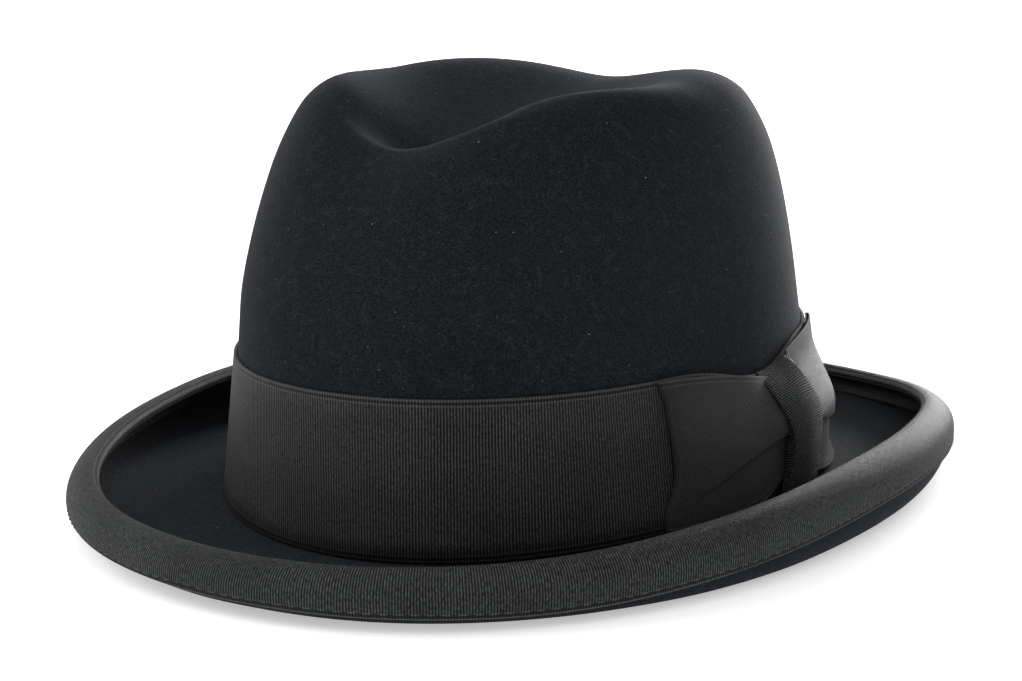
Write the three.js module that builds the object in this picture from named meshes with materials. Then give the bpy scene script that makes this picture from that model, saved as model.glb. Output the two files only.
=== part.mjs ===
// A homburg hat in black fur felt, standing on its brim.
// +X is the wearer's left, where the bow sits, and -Y is the front.
// The origin is on the table under the middle of the brim.
import * as THREE from 'three';

// Driving sizes, in millimetres
const feltWall = 1.8;
const ribbonWall = 1.0;
const clearance = 0.3;

// The head opening, outside of the felt, where the crown meets the brim
const headLength = 208.4;
const headWidth = 176.8;
const breakHeight = 1.5;
const breakRise = 5.0;
const bendRadius = 1.0;
const restReach = 12.0;

// The crown, outside of the felt, at the top edge of the band and over all before the gutter is pressed in
const neckLength = 207.1;
const neckWidth = 159.4;
const crownHeight = 130.9;
const crownForward = 4.3;
const crownBackRise = 3.6;
const ovalSquare = 2.05;
const crownSquare = 2.12;

// The gutter along the crown
const gutterDepth = 24.0;
const lipDepth = 7.2;
const gutterDeepest = -48.0;
const gutterEnd = 93.0;
const gutterTail = 12.0;
const gutterWidth = 149.0;
const gutterFrontWidth = 73.0;
const gutterWidest = 6.5;

// The brim, over its binding
const brimLength = 317.2;
const brimWidth = 252.6;
const brimSquare = 2.14;
const rimHeight = 22.7;
const rimRightRise = 1.7;
const footRightRise = 4.8;
const curlRadius = 7.5;
const bindingWidth = 16.0;
const bindingInside = 8.0;

// The ribbon band and the bow, along the hat from the middle of its left side
const bandHeight = 44.4;
const knotMiddle = 16.5;
const knotWidth = 24.0;
const knotLift = 7.0;
const knotPull = 5.5;
const pullMiddle = 3.5;
const pullReach = 35.0;
const frontLoopLength = 61.0;
const rearLoopLength = 50.0;
const loopLift = 3.2;
const pleatStep = 1.5;

// Where the gutter's dent begins and is whole, by height from the band's top edge to the crown's top
const GUTTER_RISE = { foot: 0.3, whole: 0.92 };

// The round of a loop's folded end by loopLift, the gap above a pleat by bandHeight,
// and how far the knot's sides curve back by its lift
const BOW_SHARES = { fold: 0.31, gap: 0.008, crease: 0.18 };

// Crown walls: how far each side leans in by the top, how late it leans, how tight its shoulder is
const CROWN_WALLS = {
  front: { lean: 0.35, delay: 2.1, shoulder: 5.1 },
  back: { lean: 0.155, delay: 1.6, shoulder: 3.9 },
  side: { lean: 0.09, delay: 0.75, shoulder: 7.4 },
};

// The rolled rim by quarter turns from the front (0) to the back (2): its top and the foot of its
// roll as shares of rimHeight, its radius as a share of curlRadius
const RIM = [
  { from_front: 0.0, height: 0.643, foot: 0.12, radius: 0.88 },
  { from_front: 0.25, height: 0.64, foot: 0.065, radius: 0.84 },
  { from_front: 0.5, height: 0.686, foot: 0.035, radius: 0.82 },
  { from_front: 0.75, height: 0.838, foot: 0.02, radius: 0.92 },
  { from_front: 1.0, height: 1.0, foot: 0.03, radius: 1.0 },
  { from_front: 1.25, height: 0.99, foot: 0.06, radius: 0.97 },
  { from_front: 1.5, height: 0.77, foot: 0.09, radius: 0.84 },
  { from_front: 1.75, height: 0.56, foot: 0.08, radius: 0.72 },
  { from_front: 2.0, height: 0.5, foot: 0.07, radius: 0.68 },
];

// A loop of the bow by height, as shares of bandHeight and of the loop's length.
// "edge" is where the folded end lies, and "front" and "rear" how far each loop's outer layer
// stands off, in shares of loopLift
const LOOP = [
  { height: 0.0, edge: 0.99, front: 0.75, rear: 0.9 },
  { height: 0.12, edge: 1.0, front: 0.8, rear: 1.1 },
  { height: 0.37, edge: 0.93, front: 0.9, rear: 1.2 },
  { height: 0.6, edge: 0.905, front: 1.0, rear: 1.3 },
  { height: 0.87, edge: 0.93, front: 0.95, rear: 0.7 },
  { height: 1.0, edge: 0.96, front: 0.8, rear: 0.35 },
];

// How the loop is gathered from its folded end (0) to the knot (1): heights as shares of bandHeight,
// "lift" of loopLift and "step" of pleatStep
const GATHER = [
  { along: 0.0, bottom: 0.0, pleat: 0.2, top: 1.0, lift: 0.85, step: 0.15 },
  { along: 0.35, bottom: 0.0, pleat: 0.27, top: 1.0, lift: 1.0, step: 1.0 },
  { along: 0.7, bottom: 0.06, pleat: 0.38, top: 0.95, lift: 1.0, step: 0.9 },
  { along: 0.82, bottom: 0.15, pleat: 0.44, top: 0.89, lift: 0.68, step: 0.4 },
  { along: 0.9, bottom: 0.2, pleat: 0.46, top: 0.86, lift: 0.46, step: 0.0 },
  { along: 1.0, bottom: 0.24, pleat: 0.48, top: 0.82, lift: 0.4, step: 0.0 },
];

// The knot by height, as shares of bandHeight, knotWidth and knotLift; "shift" moves its middle to the back
const KNOT = [
  { height: 0.012, width: 0.9, shift: -0.19, lift: 0.0 },
  { height: 0.06, width: 0.92, shift: -0.19, lift: 0.5 },
  { height: 0.2, width: 0.96, shift: -0.1, lift: 0.84 },
  { height: 0.46, width: 1.0, shift: 0.06, lift: 1.0 },
  { height: 0.68, width: 0.95, shift: 0.0, lift: 1.0 },
  { height: 0.84, width: 0.8, shift: -0.22, lift: 0.92 },
  { height: 0.95, width: 0.7, shift: -0.36, lift: 0.78 },
  { height: 0.99, width: 0.66, shift: -0.4, lift: 0.0 },
];

// How finely the shapes are cut
const DIRECTIONS = 60;
const CURL_STEPS = 7;
const BRIM_STEPS = 4;
const BEND_STEPS = 2;
const WALL_STEPS = 6;
const WALL_SPACING = 0.8;
const DOME_STEPS = 8;
const DOME_SPACING = 1.35;
const LOOP_STEPS = 8;
const LEVEL_PLACE = 0.75;
const SHOULDER_SHARE = 0.9;

// Small steps that a direction is measured over, and the least share that a width closes to
const SMALL_TURN = 0.004;
const SMALL_PLACE = 0.01;
const SMALL_LEVEL = 0.5;
const SMALL_SHARE = 0.03;

// Materials
const felt = new THREE.MeshStandardMaterial({ color: 0x17181b, roughness: 0.95, metalness: 0 });
const bandRibbon = new THREE.MeshStandardMaterial({ color: 0x1b1d1c, roughness: 0.7, metalness: 0 });
const bindingRibbon = new THREE.MeshStandardMaterial({ color: 0x242625, roughness: 0.7, metalness: 0 });

const quarter = Math.PI / 2;

function clamp01(value) {
  return Math.min(1, Math.max(0, value));
}

function smooth(value) {
  const u = clamp01(value);
  return u * u * (3 - 2 * u);
}

function mix(from, to, share) {
  return from + (to - from) * share;
}

// A smooth curve through one column of a table, level at both ends
function fromTable(rows, key, column, value) {
  const last = rows.length - 1;
  const x = Math.min(rows[last][key], Math.max(rows[0][key], value));
  let i = 0;
  while (i < last - 1 && x > rows[i + 1][key]) {
    i += 1;
  }
  const slope = (j) => {
    if (j === 0 || j === last) {
      return 0;
    }
    return (rows[j + 1][column] - rows[j - 1][column]) / (rows[j + 1][key] - rows[j - 1][key]);
  };
  const span = rows[i + 1][key] - rows[i][key];
  const u = (x - rows[i][key]) / span;
  const a = rows[i][column];
  const b = rows[i + 1][column];
  const rise = b - a;
  const start = slope(i) * span;
  const end = slope(i + 1) * span;
  return a + u * (start + u * ((3 * rise - 2 * start - end) + u * (start + end - 2 * rise)));
}

// A point of a rounded oval, at a turn that is 0 on the wearer's left and a quarter at the back
function oval(turn, halfWidth, halfLength, square) {
  const c = Math.cos(turn);
  const s = Math.sin(turn);
  const power = 2 / square;
  const x = halfWidth * Math.sign(c) * Math.abs(c) ** power;
  const y = halfLength * Math.sign(s) * Math.abs(s) ** power;
  return new THREE.Vector3(x, y, 0);
}

// How much a direction counts as front, back or side
function bySide(turn, column) {
  const along = Math.sin(turn) ** 2;
  const end = Math.sin(turn) < 0 ? CROWN_WALLS.front[column] : CROWN_WALLS.back[column];
  return mix(CROWN_WALLS.side[column], end, along);
}

// Heights of the middle of the felt and of the band's edges
function breakLevel(turn) {
  return breakHeight + breakRise * Math.cos(turn) ** 2 - feltWall / 2;
}

const middleBreak = breakHeight + breakRise / 2 - feltWall / 2;
const crownTop = middleBreak + crownHeight;

function bendReach() {
  return bendRadius + feltWall / 2;
}

function bandBottom(turn) {
  return breakLevel(turn) + bendReach();
}

const neckLevel = middleBreak + bendReach() + bandHeight;

// The bow's knot pulls the top edge of the ribbon down a little
function bandTop(turn) {
  const fromPull = Math.cos(turn) > 0 ? (headLength / 2) * Math.sin(turn) - pullMiddle : pullReach;
  const share = Math.min(1, Math.abs(fromPull) / pullReach);
  return neckLevel - knotPull * Math.cos(quarter * share) ** 2;
}

// The gutter is a long dent, deepest near the front, that widens and fades out towards the back
function gutter(x, y) {
  const front = -(neckLength / 2) * (1 - CROWN_WALLS.front.lean) - crownForward;
  let depth = gutterDepth * smooth((gutterEnd - y) / (gutterEnd - gutterDeepest));
  if (y < gutterDeepest) {
    depth = mix(lipDepth, gutterDepth, smooth((y - front) / (gutterDeepest - front)));
  }
  const past = gutterEnd + gutterTail;
  const closing = Math.sqrt(Math.max(SMALL_SHARE, (past - y) / (past - gutterWidest)));
  let reach = (gutterWidth / 2) * Math.min(1, closing);
  if (y < gutterWidest) {
    reach = mix(gutterFrontWidth, gutterWidth, smooth((y - front) / (gutterWidest - front))) / 2;
  }
  return depth * Math.cos(quarter * Math.min(1, Math.abs(x) / reach)) ** 2;
}

// The middle of the felt on the crown; "inset" is 1 on the wall and falls to 0 at the tip of the dome
function crownPoint(turn, level, inset) {
  const base = breakLevel(turn);
  const low = clamp01((level - base) / (neckLevel - base));
  const high = clamp01((level - neckLevel) / (crownTop - neckLevel));
  const lean = 1 - bySide(turn, 'lean') * high ** bySide(turn, 'delay');
  const width = (mix(headWidth, neckWidth, low) - feltWall) / 2;
  const length = (mix(headLength, neckLength, low) - feltWall) / 2;
  const scale = lean * inset;
  const point = oval(turn, width * scale, length * scale, mix(ovalSquare, crownSquare, high));
  point.y -= crownForward * high;
  const along = Math.max(-1, Math.min(1, point.y / (neckLength / 2)));
  const pressed = smooth((high - GUTTER_RISE.foot) / (GUTTER_RISE.whole - GUTTER_RISE.foot));
  point.z = level + crownBackRise * along * Math.cos(quarter * along) * high;
  point.z -= gutter(point.x, point.y) * pressed;
  return point;
}

// The shoulder of the crown: inset and share of height lie on one rounded corner
function shoulderInset(turn, share) {
  const power = bySide(turn, 'shoulder');
  return (1 - clamp01(share) ** power) ** (1 / power);
}

function shoulderShare(turn, inset) {
  const power = bySide(turn, 'shoulder');
  return (1 - clamp01(inset) ** power) ** (1 / power);
}

function wallPoint(turn, level) {
  const share = (level - middleBreak) / crownHeight;
  return crownPoint(turn, level, shoulderInset(turn, share));
}

// The rolled rim at a turn: the middle of its roll, its radius, how much taller than round
// its lower half is, and the way out
function rimAt(turn) {
  const fromFront = Math.acos(-Math.sin(turn)) / quarter;
  const radius = curlRadius * fromTable(RIM, 'from_front', 'radius', fromFront);
  const rightFront = Math.max(0, -Math.cos(turn)) * Math.max(0, -Math.sin(turn)) * 2;
  const top = rimHeight * fromTable(RIM, 'from_front', 'height', fromFront) + rimRightRise * rightFront;
  const cover = clearance + ribbonWall;
  const sideRadius = curlRadius * fromTable(RIM, 'from_front', 'radius', 1);
  const endRadius = curlRadius * fromTable(RIM, 'from_front', 'radius', Math.sin(turn) < 0 ? 0 : 2);
  const halfWidth = brimWidth / 2 - sideRadius - cover;
  const halfLength = brimLength / 2 - endRadius - cover;
  const middle = oval(turn, halfWidth, halfLength, brimSquare);
  const before = oval(turn - SMALL_TURN, halfWidth, halfLength, brimSquare);
  const after = oval(turn + SMALL_TURN, halfWidth, halfLength, brimSquare);
  const out = new THREE.Vector3(after.y - before.y, before.x - after.x, 0).normalize();
  middle.z = top - radius;
  const foot = rimHeight * fromTable(RIM, 'from_front', 'foot', fromFront) + footRightRise * rightFront;
  return { middle, out, radius, tall: (middle.z - foot) / radius };
}

// A point round the roll, at an angle above the horizontal
function aroundRoll(rim, radius, angle) {
  const point = rim.middle.clone().addScaledVector(rim.out, radius * Math.cos(angle));
  point.z += radius * Math.sin(angle) * (angle < 0 ? rim.tall : 1);
  return point;
}

const rimEnd = THREE.MathUtils.degToRad(94);

// The middle of the felt from the rim's edge (0) by the roll (1), the brim (2), the bend (3),
// the wall under the band (4) and the wall above it (5) to the tip of the dome (6)
function feltMiddle(turn, place) {
  const rim = rimAt(turn);
  const corner = crownPoint(turn, breakLevel(turn), 1);
  const out = rim.middle.clone().sub(corner).setZ(0).normalize();
  const bendStart = corner.clone().addScaledVector(out, bendReach());
  if (place <= 1) {
    return aroundRoll(rim, rim.radius - feltWall / 2, mix(rimEnd, -quarter, place));
  }
  if (place <= 2) {
    // The brim falls from the roll and is level where it rests, next to the head opening
    const point = aroundRoll(rim, rim.radius - feltWall / 2, -quarter);
    const reach = Math.hypot(point.x - bendStart.x, point.y - bendStart.y);
    const falling = 1 - restReach / reach;
    const u = place - 1;
    const past = Math.max(0, u - LEVEL_PLACE) / (1 - LEVEL_PLACE);
    const across = mix(falling * Math.min(1, u / LEVEL_PLACE), 1, past);
    const level = mix(point.z, bendStart.z, smooth(across / falling));
    return point.lerp(bendStart, across).setZ(level);
  }
  if (place <= 3) {
    const u = place - 2;
    const bendEnd = wallPoint(turn, bandBottom(turn));
    return bendStart.lerp(corner, u).lerp(corner.clone().lerp(bendEnd, u), u);
  }
  const shoulderLevel = middleBreak + crownHeight * SHOULDER_SHARE;
  if (place <= 4) {
    return wallPoint(turn, mix(bandBottom(turn), neckLevel, place - 3));
  }
  if (place <= 5) {
    return wallPoint(turn, mix(neckLevel, shoulderLevel, place - 4));
  }
  const inset = shoulderInset(turn, SHOULDER_SHARE) * (6 - place);
  const level = mix(middleBreak, crownTop, shoulderShare(turn, inset));
  return crownPoint(turn, level, inset);
}

// The way out of a surface that is given by two values
function normalOf(surface, a, b, stepB) {
  const around = surface(a + SMALL_TURN, b).sub(surface(a - SMALL_TURN, b));
  const along = surface(a, b + stepB).sub(surface(a, b - stepB));
  return around.cross(along).normalize();
}

// A closed solid from a row of closed loops; the row joins up with itself or is closed at both ends.
// Each loop runs out along one face and back along the other, so that its ends pair up
function loft(name, material, loops, joined) {
  const corners = [];
  const face = (a, b, c) => {
    if (!a.equals(b) && !b.equals(c) && !c.equals(a)) {
      corners.push(a, b, c);
    }
  };
  const quad = (a, b, c, d) => {
    face(a, b, c);
    face(a, c, d);
  };
  const size = loops[0].length;
  const spans = joined ? loops.length : loops.length - 1;
  for (let i = 0; i < spans; i += 1) {
    const here = loops[i];
    const next = loops[(i + 1) % loops.length];
    for (let j = 0; j < size; j += 1) {
      const k = (j + 1) % size;
      quad(here[j], next[j], next[k], here[k]);
    }
  }
  if (!joined) {
    const first = loops[0];
    const last = loops[loops.length - 1];
    for (let j = 0; j < size / 2 - 1; j += 1) {
      quad(first[j], first[j + 1], first[size - 2 - j], first[size - 1 - j]);
      quad(last[size - 1 - j], last[size - 2 - j], last[j + 1], last[j]);
    }
  }
  let volume = 0;
  for (let i = 0; i < corners.length; i += 3) {
    volume += corners[i].dot(corners[i + 1].clone().cross(corners[i + 2]));
  }
  if (volume < 0) {
    corners.reverse();
  }
  const geometry = new THREE.BufferGeometry().setFromPoints(corners);
  geometry.computeVertexNormals();
  const mesh = new THREE.Mesh(geometry, material);
  mesh.name = name;
  return mesh;
}

function steps(from, to, count) {
  return Array.from({ length: count }, (unused, i) => mix(from, to, (i + 1) / count));
}

const turns = Array.from({ length: DIRECTIONS }, (unused, i) => (i * 2 * Math.PI) / DIRECTIONS);

// Felt body: crown and brim in one wall, open below, with the rim rolled up and in
function feltBody() {
  const places = [
    0,
    ...steps(0, 1, CURL_STEPS),
    ...steps(1, 2, BRIM_STEPS),
    ...steps(2, 3, BEND_STEPS),
    4,
    ...steps(0, 1, WALL_STEPS).map((u) => 4 + u ** WALL_SPACING),
    ...steps(0, 1, DOME_STEPS).slice(0, -1).map((u) => 5 + u ** DOME_SPACING),
  ];
  const tip = feltMiddle(0, 6);
  const slope = new THREE.Vector3();
  turns.forEach((turn) => slope.add(normalOf(feltMiddle, turn, 6 - 3 * SMALL_PLACE, SMALL_PLACE)));
  slope.normalize();
  const tipOutside = tip.clone().addScaledVector(slope, feltWall / 2);
  const tipInside = tip.clone().addScaledVector(slope, -feltWall / 2);
  const loops = turns.map((turn) => {
    const upper = [];
    const under = [];
    places.forEach((place) => {
      const middle = feltMiddle(turn, place);
      const out = normalOf(feltMiddle, turn, Math.max(SMALL_PLACE, place), SMALL_PLACE);
      upper.push(middle.clone().addScaledVector(out, feltWall / 2));
      under.push(middle.clone().addScaledVector(out, -feltWall / 2));
    });
    under.forEach((point) => point.setZ(Math.max(0, point.z)));
    return [...upper, tipOutside, tipInside, ...under.reverse()];
  });
  return loft('felt_body', felt, loops, true);
}

// Hat band: a ribbon wall that lies against the crown from the brim up
function hatBand() {
  const loops = turns.map((turn) => {
    const corner = (level, stand) => {
      const out = normalOf(wallPoint, turn, level, SMALL_LEVEL);
      return wallPoint(turn, level).addScaledVector(out, feltWall / 2 + clearance + stand);
    };
    const low = bandBottom(turn);
    const high = bandTop(turn);
    return [corner(low, 0), corner(high, 0), corner(high, ribbonWall), corner(low, ribbonWall)];
  });
  return loft('hat_band', bandRibbon, loops, true);
}

// Brim binding: a ribbon folded over the rim's edge, wide outside and narrower inside the roll
function brimBinding() {
  const foldSteps = 3;
  const loops = turns.map((turn) => {
    const rim = rimAt(turn);
    const edge = aroundRoll(rim, rim.radius - feltWall / 2, rimEnd);
    const outer = (stand) => rim.radius + clearance + stand;
    const inner = (stand) => rim.radius - feltWall - clearance - stand;
    const outerEnd = rimEnd - bindingWidth / outer(ribbonWall);
    const innerEnd = rimEnd - bindingInside / inner(ribbonWall / 2);
    const side = (stand) => {
      const fold = feltWall / 2 + clearance + stand;
      const path = steps(outerEnd, rimEnd, 4).map((angle) => aroundRoll(rim, outer(stand), angle));
      path.unshift(aroundRoll(rim, outer(stand), outerEnd));
      for (let i = 1; i < foldSteps; i += 1) {
        const angle = rimEnd + (Math.PI * i) / foldSteps;
        const point = edge.clone().addScaledVector(rim.out, fold * Math.cos(angle));
        point.z += fold * Math.sin(angle);
        path.push(point);
      }
      path.push(aroundRoll(rim, inner(stand), rimEnd));
      steps(rimEnd, innerEnd, 3).forEach((angle) => path.push(aroundRoll(rim, inner(stand), angle)));
      return path;
    };
    return [...side(ribbonWall), ...side(0).reverse()];
  });
  return loft('brim_binding', bindingRibbon, loops, true);
}

// A place on the outside of the band: millimetres towards the back, share of the band's height, stand-off
function onBand(along, share, stand) {
  const turn = Math.asin(along / (headLength / 2));
  const level = mix(bandBottom(turn), bandTop(turn), share);
  const out = normalOf(wallPoint, turn, level, SMALL_LEVEL);
  const cover = feltWall / 2 + clearance + ribbonWall;
  return wallPoint(turn, level).addScaledVector(out, cover + stand);
}

// A ribbon wall round a path of places on the band, each with its way out in the along and stand-off plane
function ribbonLoop(share, path) {
  const half = ribbonWall / 2;
  const face = (sign) => path.map((place, i) => {
    const before = path[Math.max(0, i - 1)];
    const after = path[Math.min(path.length - 1, i + 1)];
    const way = new THREE.Vector2(after.x - before.x, after.y - before.y).normalize();
    return onBand(place.x - sign * half * way.y, share(place.x), place.y + sign * half * way.x);
  });
  return [...face(1), ...face(-1).reverse()];
}

// Bow loop: a flat loop of ribbon whose lower part is pleated behind its upper part
function bowLoop(name, length, direction) {
  const near = knotMiddle;
  const backing = clearance + ribbonWall / 2;
  const foldRadius = loopLift * BOW_SHARES.fold;
  const rows = [
    { share: 0.0, side: 0 },
    { share: 0.5, side: 0 },
    { share: 1.0, side: 0 },
    { share: 0.0, side: 1 },
    { share: 0.35, side: 1 },
    { share: 0.7, side: 1 },
    { share: 1.0, side: 1 },
  ];
  const loops = rows.map((row) => {
    const heightAt = (gathered) => {
      const bottom = fromTable(GATHER, 'along', 'bottom', gathered);
      const pleat = fromTable(GATHER, 'along', 'pleat', gathered);
      const top = fromTable(GATHER, 'along', 'top', gathered);
      return row.side === 0 ? mix(bottom, pleat, row.share) : mix(pleat + BOW_SHARES.gap, top, row.share);
    };
    const edge = near + direction * length * fromTable(LOOP, 'height', 'edge', heightAt(0));
    const start = near + direction * 2 * clearance;
    const gatheredAt = (along) => clamp01((edge - along) / (edge - start));
    const share = (along) => heightAt(gatheredAt(along));
    const path = [];
    for (let i = 0; i <= LOOP_STEPS; i += 1) {
      const along = mix(start, edge, i / LOOP_STEPS);
      const gathered = gatheredAt(along);
      const full = fromTable(LOOP, 'height', direction < 0 ? 'front' : 'rear', share(along));
      const lift = loopLift * full * fromTable(GATHER, 'along', 'lift', gathered);
      let stand = backing + ribbonWall + Math.max(clearance, lift - pleatStep);
      if (row.side === 1) {
        stand += pleatStep * fromTable(GATHER, 'along', 'step', gathered);
      }
      path.push(new THREE.Vector2(along, stand));
    }
    const tip = path[path.length - 1];
    path.push(new THREE.Vector2(tip.x + direction * foldRadius, mix(backing, tip.y, 0.5)));
    path.push(new THREE.Vector2(tip.x, backing));
    steps(edge, start, LOOP_STEPS).forEach((along) => path.push(new THREE.Vector2(along, backing)));
    return ribbonLoop(share, path);
  });
  return loft(name, bandRibbon, loops, false);
}

// Bow knot: a short strap of ribbon over both loops, tucked in at the band's edges
function bowKnot() {
  const backing = clearance + ribbonWall / 2;
  const across = 6;
  const face = (row, sign) => {
    const points = [];
    for (let i = 0; i <= across; i += 1) {
      const u = i / across - 0.5;
      const along = knotMiddle + knotWidth * (row.shift + u * row.width);
      const rounded = 1 - BOW_SHARES.crease * (2 * u) ** 2;
      const stand = backing + knotLift * row.lift * rounded + (sign * ribbonWall) / 2;
      points.push(onBand(along, row.height, stand));
    }
    return points;
  };
  const loops = KNOT.map((row) => [...face(row, 1), ...face(row, -1).reverse()]);
  return loft('bow_knot', bandRibbon, loops, false);
}

const hat = new THREE.Group();
hat.add(feltBody());
hat.add(hatBand());
hat.add(brimBinding());
hat.add(bowLoop('bow_front_loop', frontLoopLength, -1));
hat.add(bowLoop('bow_rear_loop', rearLoopLength, 1));
hat.add(bowKnot());

export default hat;
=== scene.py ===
"""A black fur felt homburg hat with a grosgrain band, bow and rim binding, standing on a pale table."""
import math
import random

import bpy
import bmesh
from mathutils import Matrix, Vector
from mathutils.geometry import intersect_point_line
from mathutils.bvhtree import BVHTree
from mathutils.kdtree import KDTree


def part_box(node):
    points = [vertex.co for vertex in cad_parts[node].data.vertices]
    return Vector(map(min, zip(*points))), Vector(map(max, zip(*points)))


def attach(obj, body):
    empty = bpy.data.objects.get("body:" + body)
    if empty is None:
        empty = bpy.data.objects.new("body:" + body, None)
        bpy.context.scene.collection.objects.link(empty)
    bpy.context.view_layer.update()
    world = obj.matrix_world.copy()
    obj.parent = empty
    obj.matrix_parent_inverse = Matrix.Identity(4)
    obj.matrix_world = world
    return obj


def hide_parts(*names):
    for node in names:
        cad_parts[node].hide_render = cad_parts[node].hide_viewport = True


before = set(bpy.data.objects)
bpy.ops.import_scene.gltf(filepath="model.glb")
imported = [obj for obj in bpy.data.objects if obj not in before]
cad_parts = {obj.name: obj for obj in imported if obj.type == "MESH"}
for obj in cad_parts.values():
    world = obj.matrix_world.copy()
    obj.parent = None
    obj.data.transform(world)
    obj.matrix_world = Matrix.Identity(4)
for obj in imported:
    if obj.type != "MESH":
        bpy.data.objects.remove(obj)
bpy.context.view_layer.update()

MM = 0.001

# The camera, set as the photograph was taken
IMAGE_WIDTH = 1022
IMAGE_HEIGHT = 681
CAMERA_AZIMUTH = 34.94
CAMERA_ELEVATION = 10.59
CAMERA_ROLL = 0.311
CAMERA_DISTANCE = 0.6987
CAMERA_TARGET = Vector((0.0, 0.0, 0.065))
TARGET_PIXEL = (528.25, 278.82)
FOCAL_PIXELS = 2197.6
SENSOR_WIDTH = 36.0

# Ribbon and thread sizes, in millimetres
BAND_RIB = 0.895
BOW_RIB = 0.58
KNOT_RIB = 0.68
BINDING_RIB = 0.755
SELVAGE = 3.0
STITCH_PITCH = 4.1
STITCH_LENGTH = 2.4
STITCH_WIDTH = 0.42
STITCH_INSET = 1.5
STITCH_SIDES = 6
WARP_PITCH = 0.31
RIB_WANDER = 0.35
RIBBON_BEVEL = 0.16
LOOP_THICKNESS = 0.45
KNOT_THICKNESS = 0.5
# How much paler the painted highlight on a selvage's raised threads is than the ribs' painted highlight
SELVAGE_SHINE = 1.8

# How near to each other two vertices are joined, in metres
JOIN_WITHIN = 0.00001
# How many times a cage is let out, and a line of places smoothed
LET_OUT_ROUNDS = 2
EDGE_ROUNDS = 3


def add_camera():
    data = bpy.data.cameras.new("camera")
    camera = bpy.data.objects.new("camera", data)
    bpy.context.scene.collection.objects.link(camera)
    azimuth = math.radians(CAMERA_AZIMUTH)
    elevation = math.radians(CAMERA_ELEVATION)
    back = Vector((
        math.sin(azimuth) * math.cos(elevation),
        -math.cos(azimuth) * math.cos(elevation),
        math.sin(elevation),
    ))
    camera.location = CAMERA_TARGET + back * CAMERA_DISTANCE
    camera.rotation_euler = back.to_track_quat("Z", "Y").to_euler()
    camera.rotation_euler.rotate_axis("Z", -math.radians(CAMERA_ROLL))
    data.sensor_width = SENSOR_WIDTH
    data.lens = FOCAL_PIXELS * SENSOR_WIDTH / IMAGE_WIDTH
    data.shift_x = (IMAGE_WIDTH / 2 - TARGET_PIXEL[0]) / IMAGE_WIDTH
    data.shift_y = (TARGET_PIXEL[1] - IMAGE_HEIGHT / 2) / IMAGE_WIDTH
    data.clip_start = 0.01
    bpy.context.scene.camera = camera


add_camera()

# Working on pieces


def select_only(piece):
    bpy.ops.object.select_all(action="DESELECT")
    piece.select_set(True)
    bpy.context.view_layer.objects.active = piece


def copy_of_node(node, name):
    """A new piece with a node's shape, joined up and in quads."""
    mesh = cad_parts[node].data.copy()
    mesh.name = name
    mesh.materials.clear()
    piece = bpy.data.objects.new(name, mesh)
    bpy.context.scene.collection.objects.link(piece)
    select_only(piece)
    bpy.ops.mesh.customdata_custom_splitnormals_clear()
    bpy.ops.object.mode_set(mode="EDIT")
    bpy.ops.mesh.select_all(action="SELECT")
    bpy.ops.mesh.remove_doubles(threshold=JOIN_WITHIN)
    bpy.ops.mesh.tris_convert_to_quads(face_threshold=math.radians(60), shape_threshold=math.radians(80))
    bpy.ops.mesh.normals_make_consistent(inside=False)
    bpy.ops.object.mode_set(mode="OBJECT")
    return piece


def subdivide(piece, levels):
    """Subdivision that keeps the size: the cage is first let out by as much as it would draw in."""
    cage = [vertex.co.copy() for vertex in piece.data.vertices]
    for _ in range(LET_OUT_ROUNDS):
        trial = piece.copy()
        trial.data = piece.data.copy()
        bpy.context.scene.collection.objects.link(trial)
        select_only(trial)
        modifier = trial.modifiers.new("smooth", "SUBSURF")
        modifier.levels = levels
        bpy.ops.object.modifier_apply(modifier=modifier.name)
        for i, place in enumerate(cage):
            piece.data.vertices[i].co += place - trial.data.vertices[i].co
        bpy.data.meshes.remove(trial.data)
    select_only(piece)
    modifier = piece.modifiers.new("smooth", "SUBSURF")
    modifier.levels = levels
    modifier.render_levels = levels
    bpy.ops.object.modifier_apply(modifier=modifier.name)


def finish_piece(piece, material, slot, *nodes):
    piece.data.materials.append(material)
    select_only(piece)
    bpy.ops.object.shade_smooth()
    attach(piece, "root")
    if nodes:
        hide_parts(*nodes)


# Ribbon coordinates, in millimetres along and across the ribbon


def ring_tree(half_x, half_y, square, count=1440):
    """Points round a rounded oval, with the length of the way to each."""
    points = []
    for i in range(count):
        turn = 2 * math.pi * i / count
        c, s = math.cos(turn), math.sin(turn)
        x = half_x * math.copysign(abs(c) ** (2 / square), c)
        y = half_y * math.copysign(abs(s) ** (2 / square), s)
        points.append(Vector((x, y, 0.0)))
    tree = KDTree(count)
    lengths = []
    total = 0.0
    for i, point in enumerate(points):
        tree.insert(point, i)
        lengths.append(total)
        total += (points[(i + 1) % count] - point).length
    tree.balance()
    return tree, points, lengths, total


def way_round(ring, place):
    """How far round the oval the nearest point to a place is."""
    tree, points, lengths, total = ring
    flat = Vector((place.x, place.y, 0.0))
    i = tree.find(flat)[1]
    here = points[i]
    ahead = points[(i + 1) % len(points)] - points[i - 1]
    return (lengths[i] + (flat - here).dot(ahead.normalized())) % total


def from_axis(place):
    """How far out from the middle of the hat a place is."""
    return math.hypot(place.x, place.y)


def edge_line(piece, ring, pick, count=240):
    """The ribbon's edge: in each part of the way round, the vertex that pick() rates highest."""
    best = {}
    for vertex in piece.data.vertices:
        part = int(way_round(ring, vertex.co) / ring[3] * count) % count
        rating = pick(vertex.co)
        if part not in best or rating > best[part][0]:
            best[part] = (rating, vertex.co.copy())
    points = [best[part][1] for part in sorted(best)]
    for _ in range(EDGE_ROUNDS):
        points = [
            (points[i - 1] + 2 * here + points[(i + 1) % len(points)]) / 4
            for i, here in enumerate(points)
        ]
    tree = KDTree(len(points))
    for i, point in enumerate(points):
        tree.insert(point, i)
    tree.balance()
    return tree, points


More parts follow.
